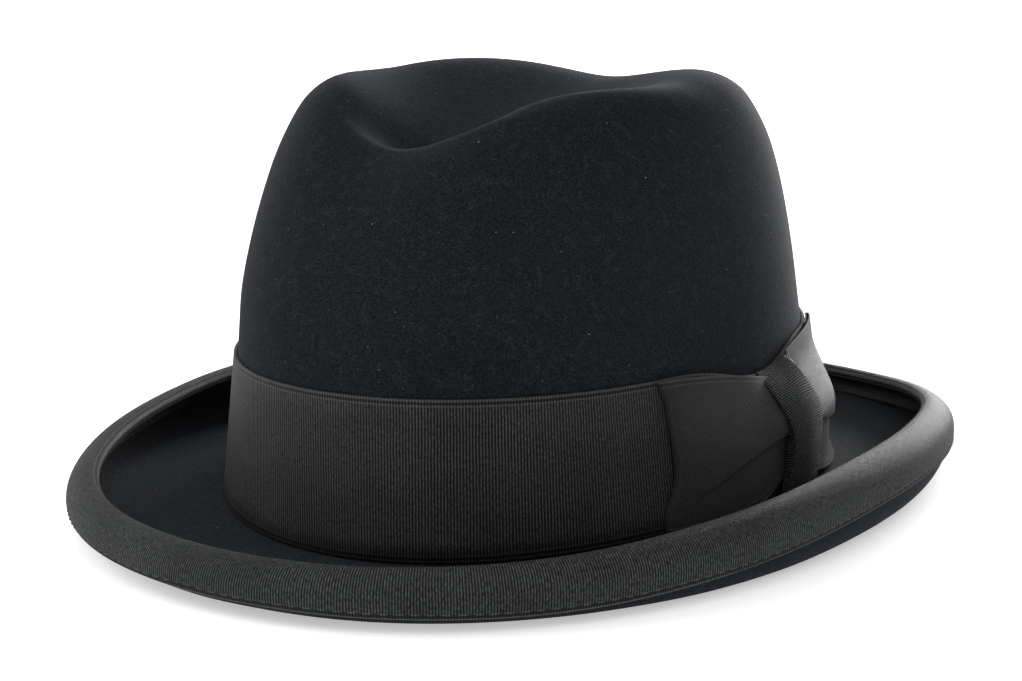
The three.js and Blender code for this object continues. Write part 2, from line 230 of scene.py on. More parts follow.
def from_edge(line, place):
    """How far a place is from a ribbon's edge."""
    tree, points = line
    i = tree.find(place)[1]
    nearest = None
    for j in (i - 1, i):
        start, end = points[j], points[(j + 1) % len(points)]
        share = intersect_point_line(place, start, end)[1]
        gap = (place - start.lerp(end, min(1.0, max(0.0, share)))).length
        nearest = gap if nearest is None else min(nearest, gap)
    return nearest


def lay_ribbon_map(piece, ring, first_edge, second_edge):
    """The ribbon's own maps in millimetres: round the hat and across, and how far from each edge."""
    mesh = piece.data
    layer = mesh.uv_layers.new(name="ribbon")
    edges = mesh.uv_layers.new(name="edges")
    gaps = [
        (from_edge(first_edge, vertex.co) / MM, from_edge(second_edge, vertex.co) / MM)
        for vertex in mesh.vertices
    ]
    total = ring[3]
    round_hat = [way_round(ring, vertex.co) for vertex in mesh.vertices]
    for face in mesh.polygons:
        ways = [round_hat[i] for i in face.vertices]
        wraps = max(ways) - min(ways) > total / 2
        for corner, i in zip(face.loop_indices, face.vertices):
            way = round_hat[i]
            if wraps and way < total / 2:
                way += total
            layer.data[corner].uv = (way / MM, gaps[i][0])
            edges.data[corner].uv = gaps[i]


# Materials


def new_material(name):
    material = bpy.data.materials.new(name)
    material.use_nodes = True
    tree = material.node_tree
    return material, tree, tree.nodes["Principled BSDF"]


def add_node(tree, kind, links=None, **settings):
    made = tree.nodes.new(kind)
    for key, value in settings.items():
        setattr(made, key, value)
    for socket, source in (links or {}).items():
        if isinstance(source, bpy.types.NodeSocket):
            tree.links.new(source, made.inputs[socket])
        else:
            made.inputs[socket].default_value = source
    return made


def math_node(tree, operation, first, second=0.0):
    made = add_node(tree, "ShaderNodeMath", {0: first, 1: second}, operation=operation)
    return made.outputs[0]


def noise(tree, place, scale, detail, **more):
    sockets = {"Vector": place, "Scale": scale, "Detail": detail, **more}
    return add_node(tree, "ShaderNodeTexNoise", sockets).outputs["Fac"]


def mix_colours(tree, share, first, second, **settings):
    sockets = {"Factor": share, "A": first, "B": second}
    return add_node(tree, "ShaderNodeMix", sockets, data_type="RGBA", **settings).outputs[2]


def grey_ramp(tree, value, stops):
    """A ramp of greys, each stop a position and a level."""
    made = add_node(tree, "ShaderNodeValToRGB", {"Fac": value})
    elements = made.color_ramp.elements
    for element, (position, level) in zip(list(elements), stops):
        element.position = position
        element.color = (level, level, level, 1.0)
    for position, level in stops[2:]:
        elements.new(position).color = (level, level, level, 1.0)
    return made.outputs["Color"]


# The felt's colours, and how its grain, hairs and lint lie
FELT_DARK = (0.0061, 0.0071, 0.0085, 1.0)
FELT_PALE = (0.0094, 0.0107, 0.0127, 1.0)
HAIR_COLOUR = (0.060, 0.065, 0.070, 1.0)
LINT_COLOUR = (0.16, 0.165, 0.17, 1.0)
BRUSHED_FLAT = (1.0, 1.0, 1.9)
HAIR_WIDTH = 0.011
HAIR_PATCHES = 0.6
HAIR_STRENGTH = 0.5
LINT_FEWNESS = 0.50
LINT_SIZE = 0.21
LINT_STRENGTH = 0.8


def felt_material():
    """Blue-black fur felt: a matted ground, a short soft nap that is paler edge on, and a little lint."""
    material, tree, surface = new_material("fur_felt")
    place = add_node(tree, "ShaderNodeTexCoord").outputs["Object"]
    # The fur is brushed round the hat, so that its grain is flatter than it is long
    brushed = add_node(tree, "ShaderNodeMapping", {"Vector": place, "Scale": BRUSHED_FLAT}).outputs["Vector"]
    cloudy = noise(tree, place, 24.0, 3.0)
    grain = noise(tree, brushed, 1500.0, 2.0, Roughness=0.6)
    nap = noise(tree, brushed, 520.0, 2.0, Distortion=2.2)
    patches = noise(tree, place, 320.0, 1.0)
    tone = mix_colours(tree, cloudy, FELT_DARK, FELT_PALE)
    speck = grey_ramp(tree, grain, [(0.37, 0.5), (0.66, 1.9)])
    speckled = mix_colours(tree, 1.0, tone, speck, blend_type="MULTIPLY")
    # Loose hairs follow the level lines of the nap, here and there
    level_line = math_node(tree, "ABSOLUTE", math_node(tree, "SUBTRACT", nap, 0.5))
    thin = math_node(tree, "LESS_THAN", level_line, HAIR_WIDTH)
    hair = math_node(tree, "MULTIPLY", thin, math_node(tree, "GREATER_THAN", patches, HAIR_PATCHES))
    haired = mix_colours(tree, math_node(tree, "MULTIPLY", hair, HAIR_STRENGTH), speckled, HAIR_COLOUR)
    # Specks of lint of several sizes and strengths
    cells = add_node(tree, "ShaderNodeTexVoronoi", {"Vector": brushed, "Scale": 300.0})
    draws = add_node(tree, "ShaderNodeSeparateColor", {"Color": cells.outputs["Color"]})
    chance = math_node(tree, "SUBTRACT", draws.outputs[0], LINT_FEWNESS)
    reach = math_node(tree, "MULTIPLY", chance, LINT_SIZE)
    near = math_node(tree, "LESS_THAN", cells.outputs["Distance"], reach)
    shown = math_node(tree, "MULTIPLY", near, math_node(tree, "MULTIPLY", draws.outputs[1], LINT_STRENGTH))
    tree.links.new(mix_colours(tree, shown, haired, LINT_COLOUR), surface.inputs["Base Color"])
    surface.inputs["Roughness"].default_value = 0.92
    surface.inputs["Specular IOR Level"].default_value = 0.05
    surface.inputs["Sheen Weight"].default_value = 0.045
    surface.inputs["Sheen Roughness"].default_value = 0.38
    surface.inputs["Sheen Tint"].default_value = (0.75, 0.8, 0.9, 1.0)
    heights = math_node(tree, "ADD", math_node(tree, "MULTIPLY", nap, 0.6), grain)
    bump = add_node(tree, "ShaderNodeBump", {"Height": heights, "Strength": 0.45, "Distance": 0.0004})
    tree.links.new(bump.outputs["Normal"], surface.inputs["Normal"])
    return material


# A selvage from the ribbon's edge (0) inward: where its threads lie, and where painted shade lies between
# them
THREAD_LEVELS = [(0.0, 0.3), (0.13, 1.0), (0.24, 0.0), (0.5, 0.0), (0.6, 0.9), (0.7, 0.0)]
TROUGH_SHADE_LEVELS = [(0.2, 0.0), (0.3, 0.75), (0.46, 0.75), (0.55, 0.0)]


def grosgrain_material(name, rib, dark, light, strength, sharp, gloss):
    """Ribbed silk ribbon: close ribs across it, broken into strokes, and two raised threads at each edge.

    rib is the ribs' pitch, strength their relief, sharp how narrow their lit tops are. dark and light are
    the ribbon's colour with painted shade between the ribs and a painted highlight on their tops.
    """
    material, tree, surface = new_material(name)
    ribbon = add_node(tree, "ShaderNodeUVMap", uv_map="ribbon").outputs["UV"]
    gaps = add_node(tree, "ShaderNodeSeparateXYZ", {
        "Vector": add_node(tree, "ShaderNodeUVMap", uv_map="edges").outputs["UV"],
    })
    place = add_node(tree, "ShaderNodeTexCoord").outputs["Object"]
    parts = add_node(tree, "ShaderNodeSeparateXYZ", {"Vector": ribbon})
    wander = math_node(tree, "MULTIPLY", noise(tree, place, 160.0, 2.0), RIB_WANDER)
    along = math_node(tree, "ADD", parts.outputs["X"], wander)
    rib_wave = math_node(tree, "SINE", math_node(tree, "MULTIPLY", along, 2 * math.pi / rib))
    rib_height = math_node(tree, "ADD", math_node(tree, "MULTIPLY", rib_wave, 0.5), 0.5)
    warp_turn = math_node(tree, "MULTIPLY", parts.outputs["Y"], 2 * math.pi / WARP_PITCH)
    thread_wave = math_node(tree, "SINE", warp_turn)
    fuzz = noise(tree, place, 1500.0, 2.0)
    cloudy = noise(tree, place, 55.0, 3.0)
    # The warp breaks each rib's light into short strokes
    stroke_place = add_node(tree, "ShaderNodeCombineXYZ", {
        "X": math_node(tree, "DIVIDE", parts.outputs["X"], rib),
        "Y": math_node(tree, "MULTIPLY", parts.outputs["Y"], 0.9),
    }).outputs["Vector"]
    strokes = noise(tree, stroke_place, 1.0, 1.0)
    stroke = math_node(tree, "MULTIPLY", math_node(tree, "SUBTRACT", strokes, 0.17), 3.0)
    # Painted light: each rib's top is painted paler as a highlight and the groove beside it darker as shade,
    # varied at random by fuzz, strokes and clouds
    lit = math_node(tree, "POWER", rib_height, sharp)
    lit = math_node(tree, "MULTIPLY", lit, math_node(tree, "ADD", fuzz, 0.45))
    lit = math_node(tree, "MULTIPLY", lit, stroke)
    lit = math_node(tree, "MULTIPLY", lit, math_node(tree, "ADD", cloudy, 0.5))
    colour = mix_colours(tree, lit, dark, light, clamp_factor=False)
    # Two raised threads run along each edge, painted paler as a highlight that follows the ribs, with
    # painted shade in the trough between them
    edge = math_node(tree, "MINIMUM", gaps.outputs["X"], gaps.outputs["Y"])
    inward = math_node(tree, "DIVIDE", edge, SELVAGE)
    thread = grey_ramp(tree, inward, THREAD_LEVELS)
    trough_shade = grey_ramp(tree, inward, TROUGH_SHADE_LEVELS)
    trough_shaded = mix_colours(tree, trough_shade, colour, dark)
    thread_lit = math_node(tree, "ADD", math_node(tree, "MULTIPLY", rib_height, 0.4), 0.4)
    thread_highlight_colour = tuple(SELVAGE_SHINE * value for value in light[:3]) + (1.0,)
    edged = mix_colours(tree, math_node(tree, "MULTIPLY", thread, thread_lit), trough_shaded, thread_highlight_colour)
    tree.links.new(edged, surface.inputs["Base Color"])
    surface.inputs["Roughness"].default_value = 0.6
    surface.inputs["Specular IOR Level"].default_value = gloss
    surface.inputs["Sheen Weight"].default_value = gloss / 5
    surface.inputs["Sheen Roughness"].default_value = 0.35
    height = math_node(tree, "ADD", rib_height, math_node(tree, "MULTIPLY", thread_wave, 0.08))
    height = math_node(tree, "ADD", height, math_node(tree, "MULTIPLY", thread, 0.5))
    bump = add_node(tree, "ShaderNodeBump", {"Height": height, "Strength": strength, "Distance": 0.0003})
    tree.links.new(bump.outputs["Normal"], surface.inputs["Normal"])
    return material


# The ribbons' colours, with painted shade between the ribs and a painted highlight on them
GROOVE_SHADE = (0.0012, 0.0013, 0.0013, 1.0)
BAND_RIB_HIGHLIGHT = (0.046, 0.0498, 0.0483, 1.0)
BOW_GROOVE_SHADE = (0.0025, 0.0027, 0.0030, 1.0)
BOW_RIB_HIGHLIGHT = (0.0288, 0.0304, 0.0322, 1.0)
KNOT_RIB_HIGHLIGHT = (0.068, 0.0725, 0.0742, 1.0)
BINDING_GROOVE_SHADE = (0.004, 0.0043, 0.0043, 1.0)
BINDING_RIB_HIGHLIGHT = (0.056, 0.0606, 0.0600, 1.0)

felt = felt_material()
# The band, bow and knot are one ribbon, given copies painted lighter or darker for the light that falls on
# each: the knot brightest, the bow darkest
band_grosgrain_painted_light = grosgrain_material(
    "band_grosgrain_painted_light", BAND_RIB, GROOVE_SHADE, BAND_RIB_HIGHLIGHT, strength=0.9, sharp=1.7, gloss=0.14)
bow_grosgrain_painted_light = grosgrain_material(
    "bow_grosgrain_painted_light", BOW_RIB, BOW_GROOVE_SHADE, BOW_RIB_HIGHLIGHT, strength=0.6, sharp=2.2, gloss=0.18)
knot_grosgrain_painted_light = grosgrain_material(
    "knot_grosgrain_painted_light", KNOT_RIB, GROOVE_SHADE, KNOT_RIB_HIGHLIGHT, strength=0.8, sharp=3.2, gloss=0.04)
binding_grosgrain_painted_light = grosgrain_material(
    "binding_grosgrain_painted_light", BINDING_RIB, BINDING_GROOVE_SHADE, BINDING_RIB_HIGHLIGHT, strength=0.8, sharp=1.1, gloss=0.06)

# Felt crown and brim

hat = copy_of_node("felt_body", "felt_crown_and_brim")
subdivide(hat, 2)
# The brim lies flat where it rests on the table
for vertex in hat.data.vertices:
    vertex.co.z = max(vertex.co.z, 0.0)
finish_piece(hat, felt, "felt", "felt_body")

# Hat band

# Edges that run round the band are kept sharp. They rise less and are longer than this, in metres
LEVEL_WITHIN = 0.004
EDGE_SHORTEST = 0.003
# How far inside the band's outline the oval lies that its ribs are counted round, and its squareness
BAND_RING_INSET = (0.004, 0.0005)
BAND_SQUARE = 2.05
# How much the outer corner of the band's top and bottom is preferred to the inner one
OUTER_CORNER = 0.5

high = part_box("hat_band")[1]
band = copy_of_node("hat_band", "grosgrain_band")
select_only(band)
bpy.ops.object.mode_set(mode="EDIT")
bpy.ops.mesh.select_all(action="SELECT")
bpy.ops.transform.edge_crease(value=0.0)
bpy.ops.mesh.select_all(action="DESELECT")
mesh = bmesh.from_edit_mesh(band.data)
creases = mesh.edges.layers.float.get("crease_edge") or mesh.edges.layers.float.new("crease_edge")
for edge in mesh.edges:
    level = abs((edge.verts[0].co - edge.verts[1].co).z) < LEVEL_WITHIN
    edge[creases] = 1.0 if level and edge.calc_length() > EDGE_SHORTEST else 0.0
bmesh.update_edit_mesh(band.data)
bpy.ops.object.mode_set(mode="OBJECT")
subdivide(band, 3)
band_ring = ring_tree(high.x - BAND_RING_INSET[0], high.y - BAND_RING_INSET[1], BAND_SQUARE)
band_top = edge_line(band, band_ring, lambda place: place.z + OUTER_CORNER * from_axis(place))
band_bottom = edge_line(band, band_ring, lambda place: -place.z + OUTER_CORNER * from_axis(place))
lay_ribbon_map(band, band_ring, band_top, band_bottom)
finish_piece(band, band_grosgrain_painted_light, "band_ribbon", "hat_band")

# Rim binding

# The same values for the binding
RIM_RING_INSET = (0.008, 0.006)
RIM_SQUARE = 2.14
RIM_OUTER_CORNER = 0.3

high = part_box("brim_binding")[1]
binding = copy_of_node("brim_binding", "rim_binding")
subdivide(binding, 2)
rim_ring = ring_tree(high.x - RIM_RING_INSET[0], high.y - RIM_RING_INSET[1], RIM_SQUARE)
binding_low = edge_line(binding, rim_ring, lambda place: -place.z + RIM_OUTER_CORNER * from_axis(place))
binding_in = edge_line(binding, rim_ring, lambda place: RIM_OUTER_CORNER * place.z - from_axis(place))
lay_ribbon_map(binding, rim_ring, binding_low, binding_in)
finish_piece(binding, binding_grosgrain_painted_light, "binding_ribbon", "brim_binding")

# Stitches along the binding's lower edge: one short raised thread after another

# How far out from the lower edge the rays start that find the needle's row, in metres
NEEDLE_REACH = 0.012
# Where along a stitch its rings of vertices lie, and between which shares its length varies
STITCH_STATIONS = (0.0, 0.2, 0.5, 0.8, 1.0)
STITCH_LENGTHS = (0.88, 1.1)
# In millimetres: how much its start varies, how far ahead its direction is taken, how far it rises
STITCH_SHIFT = 0.2
STITCH_AHEAD = 0.3
STITCH_LIFT = 0.2

binding_surface = BVHTree.FromObject(binding, bpy.context.evaluated_depsgraph_get())


def stitch_row():
    """The row that the needle follows, a little in from the lower edge, as places and directions out."""
    row = []
    for low_point in binding_low[1]:
        out = Vector((low_point.x, low_point.y, 0.0)).normalized()
        aim = low_point + out * NEEDLE_REACH + Vector((0.0, 0.0, STITCH_INSET * MM))
        hit, normal, _, _ = binding_surface.ray_cast(aim, -out)
        row.append((hit, normal))
    for _ in range(EDGE_ROUNDS):
        row = [
            ((row[i - 1][0] + here[0] * 2 + row[(i + 1) % len(row)][0]) / 4, here[1])
            for i, here in enumerate(row)
        ]
    return row


def sew_stitches():
    row = stitch_row()
    count = len(row)
    steps = [(row[(i + 1) % count][0] - row[i][0]).length / MM for i in range(count)]
    total = sum(steps)
    number = round(total / STITCH_PITCH)
    draw = random.Random(7)
    mesh = bmesh.new()

    def place_at(way):
        i = 0
        way %= total
        while way > steps[i]:
            way -= steps[i]
            i = (i + 1) % count
        here, there = row[i], row[(i + 1) % count]
        share = way / steps[i]
        return here[0].lerp(there[0], share), here[1].lerp(there[1], share).normalized()

    for k in range(number):
        start = k * total / number + draw.uniform(-STITCH_SHIFT, STITCH_SHIFT)
        length = STITCH_LENGTH * draw.uniform(*STITCH_LENGTHS)
        rings = []
        for u in STITCH_STATIONS:
            middle, out = place_at(start + u * length)
            ahead = (place_at(start + u * length + STITCH_AHEAD)[0] - middle).normalized()
            across = out.cross(ahead)
            round_half = STITCH_WIDTH / 2 * (0.55 + 0.45 * math.sin(math.pi * u))
            lift = 0.02 + STITCH_LIFT * math.sin(math.pi * u)
            ring = []
            for turn in range(STITCH_SIDES):
                angle = 2 * math.pi * turn / STITCH_SIDES
                side = across * (math.cos(angle) * round_half * MM)
                rise = out * ((lift + math.sin(angle) * round_half * 0.6) * MM)
                ring.append(mesh.verts.new(middle + side + rise))
            rings.append(ring)
        for first, second in zip(rings, rings[1:]):
            for i in range(STITCH_SIDES):
                j = (i + 1) % STITCH_SIDES
                mesh.faces.new((first[i], first[j], second[j], second[i]))
        mesh.faces.new(rings[0][::-1])
        mesh.faces.new(rings[-1])
    bmesh.ops.recalc_face_normals(mesh, faces=mesh.faces)
    data = bpy.data.meshes.new("binding_stitches")
    mesh.to_mesh(data)
    mesh.free()
    piece = bpy.data.objects.new("binding_stitches", data)
    bpy.context.scene.collection.objects.link(piece)
    return piece


def thread_material():
    material, tree, surface = new_material("dark_thread")
    place = add_node(tree, "ShaderNodeTexCoord").outputs["Object"]
    twist = noise(tree, place, 2600.0, 1.0)
    colour = mix_colours(tree, twist, (0.0015, 0.0016, 0.002, 1.0), (0.006, 0.0062, 0.007, 1.0))
    tree.links.new(colour, surface.inputs["Base Color"])
    surface.inputs["Roughness"].default_value = 0.7
    surface.inputs["Specular IOR Level"].default_value = 0.2
    return material


stitches = sew_stitches()
finish_piece(stitches, thread_material(), "binding_ribbon")

# Bow, sewn to the band on the wearer's left. Its sheets are laid out in millimetres:
# "along" runs towards the back from the middle of the left side, "height" is above the table,
# and "stand" is how far a sheet stands off the band

band_surface = BVHTree.FromObject(band, bpy.context.evaluated_depsgraph_get())
# The heights between which a ray surely meets the band, and the span that its slope is taken over
BAND_SAFE = (8.0, 43.0)
SLOPE_SPAN = 3.0
# Rays start well outside the hat and run inward
RAY_START = 0.3
INWARD = Vector((-1.0, 0.0, 0.0))


def band_point(along, height):
    """The place on the outside of the band, also just above or below it."""
    inside = min(max(height, BAND_SAFE[0]), BAND_SAFE[1])
    hit = band_surface.ray_cast(Vector((RAY_START, along * MM, inside * MM)), INWARD)[0]
    if height == inside:
        return hit
    step = 2 * SLOPE_SPAN if inside == BAND_SAFE[0] else -2 * SLOPE_SPAN
    other = band_surface.ray_cast(Vector((RAY_START, along * MM, (inside + step) * MM)), INWARD)[0]
    return hit + (other - hit) * ((height - inside) / step)


def off_band(along, height, stand):
    here = band_point(along, height)
    back = band_point(along + SLOPE_SPAN, height) - band_point(along - SLOPE_SPAN, height)
    upper = min(height + SLOPE_SPAN, BAND_SAFE[1])
    up = band_point(along, upper) - band_point(along, upper - 2 * SLOPE_SPAN)
    return here + back.cross(up).normalized() * (stand * MM)


def smooth(value):
    u = min(1.0, max(0.0, value))
    return u * u * (3 - 2 * u)


def mix(a, b, share):
    return a + (b - a) * share


def curve_through(rows, key, column, value):
    """A smooth curve through one column of a table."""
    keys = [row[key] for row in rows]
    values = [row[column] for row in rows]
    last = len(rows) - 1
    x = min(keys[last], max(keys[0], value))
    i = 0
    while i < last - 1 and x > keys[i + 1]:
        i += 1

    def slope(j):
        before, after = max(0, j - 1), min(last, j + 1)
        return (values[after] - values[before]) / (keys[after] - keys[before])

    span = keys[i + 1] - keys[i]
    u = (x - keys[i]) / span
    start, end = slope(i) * span, slope(i + 1) * span
    rise = values[i + 1] - values[i]
    return values[i] + u * (start + u * ((3 * rise - 2 * start - end) + u * (start + end - 2 * rise)))


def ribbon_sheet(name, columns, rows, where):
    """A grid of ribbon: where(a, b) gives its place and its own maps, in millimetres."""
    bpy.ops.object.select_all(action="DESELECT")
    bpy.ops.mesh.primitive_grid_add(x_subdivisions=columns, y_subdivisions=rows, size=1.0)
    piece = bpy.context.object
    piece.name = name
    mesh = piece.data
    mesh.name = name
    for layer in list(mesh.uv_layers):
        mesh.uv_layers.remove(layer)
    own_map = []
    for vertex in mesh.vertices:
        along, height, stand, length, width, rest = where(vertex.co.x + 0.5, vertex.co.y + 0.5)
        own_map.append((length, width, rest))
        vertex.co = off_band(along, height, stand)
    layer = mesh.uv_layers.new(name="ribbon")
    edges = mesh.uv_layers.new(name="edges")
    for loop in mesh.loops:
        length, width, rest = own_map[loop.vertex_index]
        layer.data[loop.index].uv = (length, width)
        edges.data[loop.index].uv = (width, rest)
    return piece


def thicken(piece, thickness):
    select_only(piece)
    bpy.ops.object.mode_set(mode="EDIT")
    bpy.ops.mesh.select_all(action="SELECT")
    bpy.ops.mesh.normals_make_consistent(inside=False)
    bpy.ops.object.mode_set(mode="OBJECT")
    wall = piece.modifiers.new("wall", "SOLIDIFY")
    wall.thickness = thickness * MM
    wall.offset = 0.0
    bpy.ops.object.modifier_apply(modifier=wall.name)
    bevel = piece.modifiers.new("edge", "BEVEL")
    bevel.width = RIBBON_BEVEL * MM
    bevel.segments = 2
    bevel.limit_method = "ANGLE"
    bevel.angle_limit = math.radians(55)
    bpy.ops.object.modifier_apply(modifier=bevel.name)


# A loop from its folded end (0) to the knot (1). "top", "fold" and "bottom" are heights,
# "depth" how deep the pleat is tucked, "stand" how far the face of the loop stands off,
# and "step" how far the part below the pleat lies behind the face
FRONT_LOOP = [
    {"at": 0.0, "top": 49.6, "fold": 13.0, "bottom": 6.2, "depth": 0.3, "stand": 3.0, "step": 0.7},
    {"at": 0.15, "top": 49.3, "fold": 15.6, "bottom": 6.2, "depth": 0.6, "stand": 3.6, "step": 0.7},
    {"at": 0.4, "top": 47.7, "fold": 20.2, "bottom": 6.8, "depth": 3.5, "stand": 4.2, "step": 0.8},
    {"at": 0.65, "top": 45.0, "fold": 23.2, "bottom": 9.0, "depth": 7.0, "stand": 4.8, "step": 1.1},
    {"at": 0.85, "top": 42.6, "fold": 24.6, "bottom": 12.0, "depth": 9.0, "stand": 5.0, "step": 1.7},
    {"at": 1.0, "top": 40.5, "fold": 25.0, "bottom": 14.0, "depth": 9.5, "stand": 4.4, "step": 1.7},
]
REAR_LOOP = [
    {"at": 0.0, "top": 50.4, "fold": 20.5, "bottom": 6.0, "depth": 2.0, "stand": 6.0, "step": 1.4},
    {"at": 0.2, "top": 50.4, "fold": 20.8, "bottom": 6.0, "depth": 3.0, "stand": 6.6, "step": 1.7},
    {"at": 0.4, "top": 50.2, "fold": 21.5, "bottom": 6.5, "depth": 4.5, "stand": 6.8, "step": 1.8},
    {"at": 0.65, "top": 49.6, "fold": 23.0, "bottom": 7.5, "depth": 7.0, "stand": 6.6, "step": 1.8},
    {"at": 0.85, "top": 48.8, "fold": 25.0, "bottom": 9.0, "depth": 9.0, "stand": 5.8, "step": 1.6},
    {"at": 1.0, "top": 47.8, "fold": 26.0, "bottom": 11.0, "depth": 9.5, "stand": 4.4, "step": 1.4},
]
# Where the folded end lies, by height
FRONT_END = [
    {"height": 6.0, "along": -46.6},
    {"height": 11.0, "along": -46.5},
    {"height": 17.0, "along": -43.4},
    {"height": 22.0, "along": -41.5},
    {"height": 28.0, "along": -40.8},
    {"height": 35.0, "along": -40.9},
    {"height": 44.0, "along": -41.3},
    {"height": 51.0, "along": -43.6},
]
REAR_END = [
    {"height": 6.0, "along": 64.0},
    {"height": 20.0, "along": 61.0},
    {"height": 35.0, "along": 60.5},
    {"height": 51.0, "along": 64.0},
]
# How far a loop's face stands off, by height, as a share of its stand: "share" along the loop
# and "pinched" where the knot draws it in
REAR_PUFF = [
    {"height": 4.0, "share": 0.9, "pinched": 0.5},
    {"height": 11.0, "share": 0.7, "pinched": 0.6},
    {"height": 19.0, "share": 0.85, "pinched": 0.9},
    {"height": 26.0, "share": 1.0, "pinched": 1.1},
    {"height": 35.0, "share": 0.62, "pinched": 0.75},
    {"height": 42.0, "share": 0.3, "pinched": 0.4},
    {"height": 51.0, "share": 0.12, "pinched": 0.2},
]
FRONT_PUFF = [
    {"height": 6.0, "share": 0.85, "pinched": 0.5},
    {"height": 14.0, "share": 0.95, "pinched": 0.6},
    {"height": 24.0, "share": 1.0, "pinched": 0.95},
    {"height": 30.0, "share": 1.0, "pinched": 1.2},
    {"height": 36.0, "share": 0.95, "pinched": 0.95},
    {"height": 42.0, "share": 0.85, "pinched": 0.45},
    {"height": 51.0, "share": 0.7, "pinched": 0.3},
]
# The least that a face stands off, and how far the turned-in end behind it stands off
FACE_LEAST = 1.6
BACK_STAND = 0.5
# How far the face drops where it rolls over its folded end, and over what length
ROLL_DROP = 0.5
ROLL_LENGTH = 3.0
# The most that the fold reaches beyond the end, and how much ribbon is turned in
FOLD_RADIUS = 1.3
TURNED_IN = 14.0
# Where the knot starts to draw a loop in, and over what share of the loop
PINCH_FROM = 0.55
PINCH_OVER = 0.45
# Where on the sheet the face and then the turn end along it, and the face and then the tuck across it
FACE_SHARE = 0.78
TURN_SHARE = 0.9
FACE_PART = 0.52
TUCK_PART = 0.66
# How many faces a loop's sheet has along and across
LOOP_GRID = (70, 72)


def bow_loop(name, table, end, puff, knot_along, direction):
    """One loop of the bow in a single sheet: its face, tucked in a pleat, and the turn at its folded end."""

    def where(a, b):
        at = 1.0 - min(a / FACE_SHARE, 1.0)
        top = curve_through(table, "at", "top", at)
        fold = curve_through(table, "at", "fold", at)
        bottom = curve_through(table, "at", "bottom", at)
        depth = curve_through(table, "at", "depth", at)
        stand = curve_through(table, "at", "stand", at)
        step = curve_through(table, "at", "step", at) * smooth(depth / 2.0)
        full_width = top - fold + depth + (fold + depth - bottom)
        if b < FACE_PART:
            u = b / FACE_PART
            height = mix(top, fold, u)
            width = top - height
            layer = 0.0
        elif b < TUCK_PART:
            u = (b - FACE_PART) / (TUCK_PART - FACE_PART)
            height = mix(fold, fold + depth, u)
            width = top - fold + depth * u
            layer = -step * 0.5 * smooth(u * 3.0)
        else:
            u = (b - TUCK_PART) / (1.0 - TUCK_PART)
            height = mix(fold + depth, bottom, u)
            width = top - fold + depth + (fold + depth - height)
            layer = -step * (0.5 + 0.5 * smooth(u * 3.0))
        level = fold + (height - fold) * 0.5 if height > fold and b >= FACE_PART else height
        share = curve_through(puff, "height", "share", level)
        pinched = curve_through(puff, "height", "pinched", level)
        drawn_in = smooth((at - PINCH_FROM) / PINCH_OVER)
        off = max(FACE_LEAST, stand * mix(share, pinched, drawn_in) + layer)
        edge = curve_through(end, "height", "along", height)
        length = abs(knot_along - edge)
        rest = full_width - width
        if a <= FACE_SHARE:
            along = mix(edge, knot_along, at)
            # The face rolls over into its turn at the folded end
            near = min(1.0, at * length / ROLL_LENGTH)
            off -= ROLL_DROP * (1.0 - near) ** 2
            return along, height, off, at * length, width, rest
        half = (off - ROLL_DROP - BACK_STAND) / 2
        if a <= TURN_SHARE:
            angle = math.pi * (a - FACE_SHARE) / (TURN_SHARE - FACE_SHARE)
            along = edge + direction * min(FOLD_RADIUS, half) * math.sin(angle)
            stand_off = BACK_STAND + half * (1.0 + math.cos(angle))
            return along, height, stand_off, -FOLD_RADIUS * angle, width, rest
        turned_in = (a - TURN_SHARE) / (1.0 - TURN_SHARE) * TURNED_IN
        length = -FOLD_RADIUS * math.pi - turned_in
        return edge - direction * turned_in, height, BACK_STAND, length, width, rest

    piece = ribbon_sheet(name, *LOOP_GRID, where)
    thicken(piece, LOOP_THICKNESS)
    return piece


# Where each loop goes under the knot
FRONT_UNDER = 12.0
REAR_UNDER = 20.0

front_loop = bow_loop("bow_front_ribbon", FRONT_LOOP, FRONT_END, FRONT_PUFF, FRONT_UNDER, -1)
finish_piece(front_loop, bow_grosgrain_painted_light, "band_ribbon", "bow_front_loop")
rear_loop = bow_loop("bow_rear_ribbon", REAR_LOOP, REAR_END, REAR_PUFF, REAR_UNDER, 1)
finish_piece(rear_loop, bow_grosgrain_painted_light, "band_ribbon", "bow_rear_loop")

# The knot: a strap of the same ribbon, folded over the loops and creased along its right side
KNOT = [
    {"height": 3.5, "left": 0.2, "crease": 18.2, "right": 20.7, "stand": 2.0},
    {"height": 8.5, "left": 1.2, "crease": 19.6, "right": 22.7, "stand": 5.4},
    {"height": 16.0, "left": 4.6, "crease": 21.2, "right": 24.7, "stand": 7.0},
    {"height": 23.0, "left": 6.6, "crease": 24.8, "right": 28.0, "stand": 7.8},
    {"height": 28.5, "left": 5.0, "crease": 26.8, "right": 30.0, "stand": 8.0},
    {"height": 35.5, "left": 1.4, "crease": 23.0, "right": 26.6, "stand": 7.2},
    {"height": 40.0, "left": -0.2, "crease": 20.4, "right": 24.0, "stand": 5.2},
    {"height": 43.0, "left": -0.8, "crease": 18.8, "right": 22.4, "stand": 3.0},
    {"height": 44.6, "left": -1.0, "crease": 18.0, "right": 21.4, "stand": 1.2},
]
# How far the band's top edge rises beside its lowest place, which the knot's top end follows
BAND_DIP = [
    {"along": -5.0, "rise": 0.9},
    {"along": 0.0, "rise": 0.2},
    {"along": 6.0, "rise": 0.0},
    {"along": 10.0, "rise": 0.2},
    {"along": 15.0, "rise": 1.2},
    {"along": 20.0, "rise": 2.3},
    {"along": 26.0, "rise": 3.6},
]
KNOT_WIDTH = 22.0
KNOT_STEPS = 60
KNOT_GRID = (48, 60)
# Shares of the strap's width: its rolled left edge, its face, where the crease is, the side beyond it
LEFT_ROLL = 0.12
STRAP_FACE = 0.68
CREASE_AT = 0.8
STRAP_SIDE = 0.2
# How far the strap's ribs bow, and the least that the strap stands off
RIB_BOW = 1.6
STRAP_LEAST = 0.7


